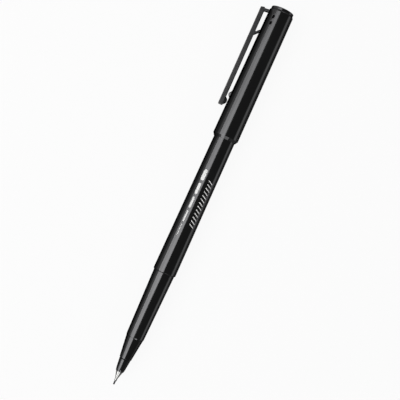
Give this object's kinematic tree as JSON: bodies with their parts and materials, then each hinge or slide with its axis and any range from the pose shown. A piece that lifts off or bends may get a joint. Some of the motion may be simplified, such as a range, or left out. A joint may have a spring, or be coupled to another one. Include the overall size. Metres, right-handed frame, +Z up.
{
  "type": "fineliner pen",
  "caption": "Slim black fineliner pen with a tapered grip section, a steel-sleeved fibre nib and a push-on cap with a sprung clip, posted on the rear end.",
  "frame": {"origin": "middle of the pen's footprint on the surface it lies on", "axes": "+X along the pen towards the nib, +Z up, the clip on the -Y side and pointing down"},
  "size_m": [0.1524, 0.0124, 0.01],
  "materials": {
    "barrel_black": "moulded gloss",
    "section_black": "moulded gloss",
    "cap_black": "moulded gloss",
    "clip_black": "moulded satin",
    "tip_steel": "drawn steel",
    "nib_fibre": "ink-soaked fibre",
    "reservoir_fibre": "ink-soaked fibre",
    "wrap_film": "thin film",
    "inner_cap_plastic": "natural moulded"
  },
  "bodies": {
    "barrel": {"barrel_tube": "barrel_black", "rear_plug": "barrel_black", "grip_section": "section_black", "nozzle": "section_black", "metal_tip": "tip_steel", "nib": "nib_fibre", "feed_wick": "nib_fibre", "ink_reservoir": "reservoir_fibre", "reservoir_wrap": "wrap_film"},
    "cap": {"cap_shell": "cap_black", "cap_crown": "cap_black", "inner_cap": "inner_cap_plastic", "clip_bridge": "clip_black"},
    "clip": {"clip_blade": "clip_black"}
  },
  "joints": [
    {"name": "cap_slide", "type": "slide", "parent": "barrel", "child": "cap", "axis": [-1, 0, 0], "range_m": [0, 0.036]},
    {"name": "clip_flex", "type": "hinge", "parent": "cap", "child": "clip", "pos_m": [-0.06218, -0.00486, 0.00136], "axis": [0, 0.5131, -0.8583], "range_deg": [0, 5], "stiffness_Nm_per_rad": 0.6}
  ]
}
